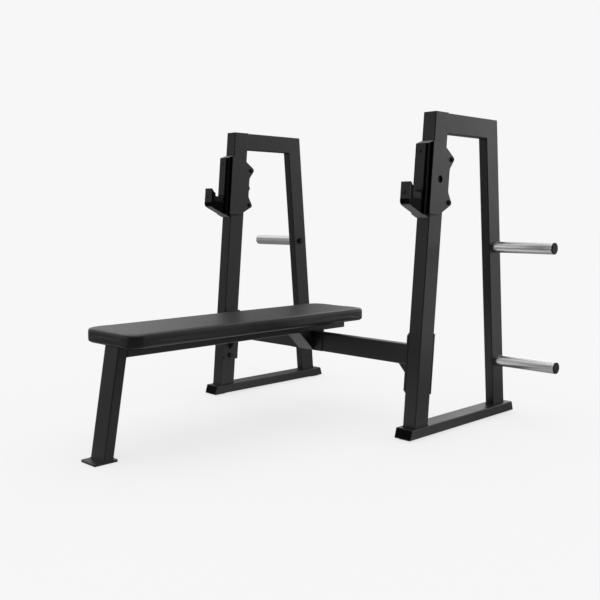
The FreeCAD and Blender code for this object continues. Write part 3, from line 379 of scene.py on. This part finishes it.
def makeCushion():
    low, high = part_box("pad")
    start = meshObject("cushionStart", cushionStart(low, high), padVinyl)
    remesh = start.modifiers.new("remesh", "REMESH")
    remesh.mode = "VOXEL"
    remesh.voxel_size = mm(cushion["voxel"])
    even = plainMesh(start)
    bpy.data.objects.remove(start)
    piece = meshObject("cushion_cover", even, padVinyl)
    normals = [v.normal.copy() for v in even.vertices]
    swollen = swell(piece, low.z)
    for start, normal, vertex in zip(even.vertices, normals, swollen.vertices):
        # the firm core keeps the cover from sinking, so only what swells outward stays
        outward = max(0.0, min(mm(cushion["mostSwell"]), (vertex.co - start.co).dot(normal)))
        vertex.co = start.co + normal * outward
    piece.data = swollen
    middle = (low + high) / 2
    straight = high.y - middle.y - mm(cushion["corner"])
    for vertex in piece.data.vertices:
        at = vertex.co
        lowness = max(0.0, 1 - (at.z - low.z) / mm(24))
        cornerness = max(0.0, min(1.0, (abs(at.y - middle.y) - straight) / mm(20)))
        wave = math.sin(math.atan2(at.y - middle.y, at.x) * 900)
        out = Vector((at.x, at.y - middle.y, 0)).normalized()
        vertex.co = at + out * (mm(cushion["pucker"]) * wave * lowness * cornerness)
    finer = piece.modifiers.new("finer", "SUBSURF")
    finer.levels = finer.render_levels = 1
    mesh = plainMesh(piece)
    piece.modifiers.clear()
    piece.data = mesh
    mesh.materials.clear()
    mesh.materials.append(padVinyl)
    smooth(mesh)
    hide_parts("pad")
    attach(piece, "frame")
    say("cushion, %d faces" % len(mesh.polygons))


makeCushion()


# ---- weld beads where the tubes meet

bead = {
    "width": 5.0,
    "pitch": 2.6,  # distance between the ripples of the bead
    "uprightDepth": 85,
    "flat": 0.62,  # ripple's thickness as a share of its width
}


def loopAround(corners):
    return [Vector(corner) for corner in corners]


def flatLoop(low, high, height):
    # a level rectangle between two corners, at a height
    return loopAround([(low.x, low.y, height), (high.x, low.y, height), (high.x, high.y, height),
                       (low.x, high.y, height)])


def beadTree():
    # lays flattened ripples along every edge loop that comes in
    tree = bpy.data.node_groups.new("weldRipples", "GeometryNodeTree")
    face = tree.interface
    face.new_socket("Geometry", in_out="INPUT", socket_type="NodeSocketGeometry")
    for name in ("Pitch", "Width", "Flatness"):
        face.new_socket(name, in_out="INPUT", socket_type="NodeSocketFloat")
    face.new_socket("Material", in_out="INPUT", socket_type="NodeSocketMaterial")
    face.new_socket("Geometry", in_out="OUTPUT", socket_type="NodeSocketGeometry")
    given = addNode(tree, "NodeGroupInput").outputs
    path = addNode(tree, "GeometryNodeMeshToCurve", None, None, {"Mesh": given["Geometry"]})
    even = addNode(tree, "GeometryNodeResampleCurve", {"mode": "LENGTH"}, None,
                   {"Curve": path.outputs["Curve"], "Length": given["Pitch"]})
    ball = addNode(tree, "GeometryNodeMeshUVSphere", None, {"Segments": 8, "Rings": 5, "Radius": 0.5})
    along = addNode(tree, "GeometryNodeInputTangent")
    turn = addNode(tree, "FunctionNodeAlignEulerToVector", {"axis": "Z"}, None,
                   {"Vector": along.outputs["Tangent"]})
    wobble = addNode(tree, "FunctionNodeRandomValue", {"data_type": "FLOAT"}, {"Seed": 7})
    wobble.inputs[2].default_value = 0.9
    wobble.inputs[3].default_value = 1.1
    wide = addNode(tree, "ShaderNodeMath", {"operation": "MULTIPLY"})
    tree.links.new(given["Width"], wide.inputs[0])
    tree.links.new(wobble.outputs[1], wide.inputs[1])
    thick = addNode(tree, "ShaderNodeMath", {"operation": "MULTIPLY"})
    tree.links.new(wide.outputs[0], thick.inputs[0])
    tree.links.new(given["Flatness"], thick.inputs[1])
    size = addNode(tree, "ShaderNodeCombineXYZ", None, None,
                   {"X": wide.outputs[0], "Y": wide.outputs[0], "Z": thick.outputs[0]})
    laid = addNode(tree, "GeometryNodeInstanceOnPoints", None, None,
                   {"Points": even.outputs["Curve"], "Instance": ball.outputs["Mesh"],
                    "Rotation": turn.outputs["Rotation"], "Scale": size.outputs["Vector"]})
    real = addNode(tree, "GeometryNodeRealizeInstances", None, None, {"Geometry": laid.outputs["Instances"]})
    painted = addNode(tree, "GeometryNodeSetMaterial", None, None,
                      {"Geometry": real.outputs["Geometry"], "Material": given["Material"]})
    addNode(tree, "NodeGroupOutput", None, None, {"Geometry": painted.outputs["Geometry"]})
    return tree


def setInputs(modifier, tree, values):
    for item in tree.interface.items_tree:
        if item.item_type == "SOCKET" and item.in_out == "INPUT" and item.name in values:
            modifier[item.identifier] = values[item.name]


def grownMesh(name, mesh, tree, values, material):
    # runs a Geometry Nodes tree on a mesh once and keeps only the result
    seed = meshObject(name + "Seed", mesh, material)
    modifier = seed.modifiers.new("grow", "NODES")
    modifier.node_group = tree
    setInputs(modifier, tree, {**values, "Material": material})
    grown = plainMesh(seed)
    bpy.data.objects.remove(seed)
    piece = meshObject(name, grown, material)
    smooth(grown)
    return piece


def makeWelds():
    loops = []
    for side, sign in sides.items():
        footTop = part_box("foot_bar_" + side)[1].z
        for node in ("front_upright_", "rear_upright_"):
            low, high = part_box(node + side)
            depth = mm(bead["uprightDepth"]) / math.cos(lean)
            near = low.y if node.startswith("front") else high.y - depth
            loops.append(flatLoop(Vector((low.x, near, 0)), Vector((high.x, near + depth, 0)), footTop))
        barLow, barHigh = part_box("top_bar_" + side)
        run = (barHigh.z - barLow.z) * math.tan(lean)
        loops.append(loopAround([
            (barLow.x, barLow.y, barLow.z),
            (barHigh.x, barLow.y, barLow.z),
            (barHigh.x, barLow.y + run, barHigh.z),
            (barLow.x, barLow.y + run, barHigh.z)]))
        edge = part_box("crossbeam")[1].x * sign
        uprightFoot = Vector((edge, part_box("front_upright_right")[0].y, footTop))
        loops.append([uprightFoot + upAlong * mm(s) + backAcross * mm(d)
                      for s, d in ((242.5, 10), (322.5, 10), (322.5, 70), (242.5, 70))])
    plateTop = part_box("foot_plate")[1].z
    legLow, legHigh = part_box("front_leg")
    legDepth = mm(40) / math.cos(math.radians(10))
    legBack = legLow.y + legDepth
    loops.append(flatLoop(Vector((legLow.x, legLow.y, 0)), Vector((legHigh.x, legBack, 0)), plateTop))
    verts, edges = [], []
    for loop in loops:
        first = len(verts)
        verts += loop
        edges += [(first + i, first + (i + 1) % len(loop)) for i in range(len(loop))]
    mesh = bpy.data.meshes.new("weldPaths")
    mesh.from_pydata(verts, edges, [])
    sizes = {"Pitch": mm(bead["pitch"]), "Width": mm(bead["width"]), "Flatness": bead["flat"]}
    piece = grownMesh("weld_beads", mesh, beadTree(), sizes, coatBlack)
    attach(piece, "frame")
    say("weld beads, %d loops" % len(loops))


makeWelds()


# ---- height numbers on the outer faces of the front uprights

numbers = {
    "tall": 11,
    "first": 684,  # distance of number 1 above the foot bar, along the upright
    "pitch": 32,
    "count": 11,
    "behind": 41,  # from the front face
    "proud": 0.15,
}


def makeNumbers():
    for side, sign in sides.items():
        low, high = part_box("front_upright_" + side)
        face = high.x if sign > 0 else low.x
        foot = Vector((face, low.y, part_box("foot_bar_" + side)[1].z))
        joined = bmesh.new()
        for index in range(numbers["count"]):
            curve = bpy.data.curves.new("number", "FONT")
            curve.body = str(index + 1)
            curve.size = mm(numbers["tall"]) * 1.4
            curve.extrude = mm(numbers["proud"])
            curve.align_x = "CENTER"
            curve.align_y = "CENTER"
            text = bpy.data.objects.new("number", curve)
            bpy.context.scene.collection.objects.link(text)
            mesh = plainMesh(text)
            right = backAcross * sign
            turn = Matrix((right, upAlong, Vector((sign, 0, 0)))).transposed().to_4x4()
            along = numbers["first"] + numbers["pitch"] * index
            spot = foot + upAlong * mm(along) + backAcross * mm(numbers["behind"])
            mesh.transform(Matrix.Translation(spot) @ turn)
            joined.from_mesh(mesh)
            bpy.data.objects.remove(text)
        mesh = bpy.data.meshes.new("height_numbers_" + side)
        joined.to_mesh(mesh)
        joined.free()
        piece = meshObject("height_numbers_" + side, mesh, inkPale)
        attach(piece, "frame")
    say("height numbers")


makeNumbers()


# ---- grip ridges round the knobs of the pull pins

knob = {
    "ridges": 24,
    "tall": 14,
    "thick": 1.2,
    "fromTip": 10.5,  # the ridges' middle, ahead of the knob's back end
}


def makeKnobGrips():
    for side in sides:
        low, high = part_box("pull_pin_" + side)
        radius = (high.x - low.x) / 2
        centre = Vector(((low.x + high.x) / 2, 0, 0))
        back = high.y - math.sin(lean) * radius
        tip = Vector((centre.x, back, (low.z + high.z) / 2))
        joined = bmesh.new()
        for index in range(knob["ridges"]):
            turn = 2 * math.pi * index / knob["ridges"]
            out = Vector((math.cos(turn), 0, 0)) + upAlong * math.sin(turn)
            middle = tip - backAcross * mm(knob["fromTip"]) + out * radius
            across = out.cross(backAcross)
            corners = []
            for along in (-knob["tall"] / 2, knob["tall"] / 2):
                for aside, lift in ((-0.5, -0.3), (0.5, -0.3), (0.25, 0.3), (-0.25, 0.3)):
                    corners.append(joined.verts.new(middle + backAcross * mm(along)
                                                    + across * mm(knob["thick"] * aside * 2)
                                                    + out * mm(knob["thick"] * lift)))
            a = corners
            for face in ((0, 1, 2, 3), (7, 6, 5, 4), (0, 4, 5, 1), (1, 5, 6, 2), (2, 6, 7, 3), (3, 7, 4, 0)):
                joined.faces.new([a[i] for i in face])
        bmesh.ops.recalc_face_normals(joined, faces=joined.faces)
        mesh = bpy.data.meshes.new("knob_grip_" + side)
        joined.to_mesh(mesh)
        joined.free()
        piece = meshObject("knob_grip_" + side, mesh, nylonBlack)
        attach(piece, "pull_pin_" + side)
    say("knob grips")


makeKnobGrips()


# ---- floor, light and camera

studio = {
    "backdrop": 0.93,
    "floorTone": 0.25,
    "floorGlow": 0.7,
    # what the floor adds for mirrored light: middle x, y, reach and strength of its bright patches
    "patches": [(0, 0, 1500, 0.8), (2300, 2500, 1600, 1.9)],
    "floorReach": 40000,
    "ambient": 0.08,
    # azimuth from +X, elevation, half width in degrees and strength of the bright parts of the room
    "lobes": [(62, 6, 32, 1.9), (244, 8, 22, 1.2), (205, 6, 16, 0.4), (172, 12, 42, 0.9),
              (112, 15, 24, 2.0), (0, 90, 70, 1.3)],
}


def makeFloor():
    mesh = bpy.data.meshes.new("floor")
    reach = mm(studio["floorReach"])
    mesh.from_pydata([(-reach, -reach, 0), (reach, -reach, 0), (reach, reach, 0), (-reach, reach, 0)], [],
                     [(0, 1, 2, 3)])
    material, tree, where = newMaterial("paleFloor")
    # dull studio floor; the camera sees an even glow that merges with the backdrop, while mirrored
    # light sees bright patches instead
    tone = studio["floorTone"]
    diffuse = addNode(tree, "ShaderNodeBsdfDiffuse", None, {"Color": (tone, tone, tone, 1)})
    level = None
    for x, y, reach, strength in studio["patches"]:
        away = addNode(tree, "ShaderNodeVectorMath", {"operation": "DISTANCE"})
        away.inputs[1].default_value = (mm(x), mm(y), 0)
        tree.links.new(where, away.inputs[0])
        patch = addNode(tree, "ShaderNodeMapRange", {"interpolation_type": "SMOOTHSTEP"},
                        {"From Max": mm(reach), "To Min": strength, "To Max": 0.0},
                        {"Value": away.outputs["Value"]})
        total = addNode(tree, "ShaderNodeMath", {"operation": "ADD"})
        total.inputs[1].default_value = 0.0
        tree.links.new(patch.outputs["Result"], total.inputs[0])
        if level is not None:
            tree.links.new(level, total.inputs[1])
        level = total.outputs[0]
    seen = addNode(tree, "ShaderNodeLightPath").outputs["Is Camera Ray"]
    pick = addNode(tree, "ShaderNodeMix", {"data_type": "FLOAT"}, None, {"Factor": seen})
    tree.links.new(level, pick.inputs[2])
    pick.inputs[3].default_value = studio["floorGlow"]
    glow = addNode(tree, "ShaderNodeEmission", None, {"Color": (1, 1, 1, 1)}, {"Strength": pick.outputs[0]})
    both = addNode(tree, "ShaderNodeAddShader")
    tree.links.new(diffuse.outputs[0], both.inputs[0])
    tree.links.new(glow.outputs[0], both.inputs[1])
    addNode(tree, "ShaderNodeOutputMaterial", None, None, {"Surface": both.outputs[0]})
    floor = meshObject("floor", mesh, material)


def makeWorld():
    # a dim room with soft bright parts; the camera itself sees a plain backdrop
    world = bpy.data.worlds.new("studio")
    bpy.context.scene.world = world
    world.use_nodes = True
    tree = world.node_tree
    tree.nodes.clear()
    way = addNode(tree, "ShaderNodeTexCoord").outputs["Generated"]
    level = None
    for azimuth, elevation, reach, strength in studio["lobes"]:
        azimuth, elevation = math.radians(azimuth), math.radians(elevation)
        toward = addNode(tree, "ShaderNodeVectorMath", {"operation": "DOT_PRODUCT"})
        toward.inputs[1].default_value = (math.cos(azimuth) * math.cos(elevation),
                                          math.sin(azimuth) * math.cos(elevation), math.sin(elevation))
        tree.links.new(way, toward.inputs[0])
        lobe = addNode(tree, "ShaderNodeMapRange", {"interpolation_type": "SMOOTHSTEP"},
                       {"From Min": math.cos(math.radians(reach)), "To Max": strength},
                       {"Value": toward.outputs["Value"]})
        total = addNode(tree, "ShaderNodeMath", {"operation": "ADD"})
        total.inputs[1].default_value = studio["ambient"]
        tree.links.new(lobe.outputs["Result"], total.inputs[0])
        if level is not None:
            tree.links.new(level, total.inputs[1])
        level = total.outputs[0]
    lit = addNode(tree, "ShaderNodeBackground", None, {"Color": (1, 1, 1, 1)}, {"Strength": level})
    shown = addNode(tree, "ShaderNodeBackground", None,
                    {"Color": (1, 1, 1, 1), "Strength": studio["backdrop"]})
    ray = addNode(tree, "ShaderNodeLightPath")
    pick = addNode(tree, "ShaderNodeMixShader", None, None, {"Fac": ray.outputs["Is Camera Ray"]})
    tree.links.new(lit.outputs[0], pick.inputs[1])
    tree.links.new(shown.outputs[0], pick.inputs[2])
    addNode(tree, "ShaderNodeOutputWorld", None, None, {"Surface": pick.outputs[0]})


def makeCamera():
    lens = bpy.data.cameras.new("camera")
    lens.lens = 50
    lens.sensor_width = 36
    lens.shift_x = 0.5 / 600
    camera = bpy.data.objects.new("camera", lens)
    bpy.context.scene.collection.objects.link(camera)
    camera.location = (2.54143, -2.37594, 0.87183)
    camera.rotation_euler = Euler((math.radians(90 - 5.83), 0, math.radians(45)))
    lens.clip_end = 100
    bpy.context.scene.camera = camera


makeFloor()
makeWorld()
makeCamera()
bpy.context.scene.view_settings.view_transform = "Standard"
say("studio")
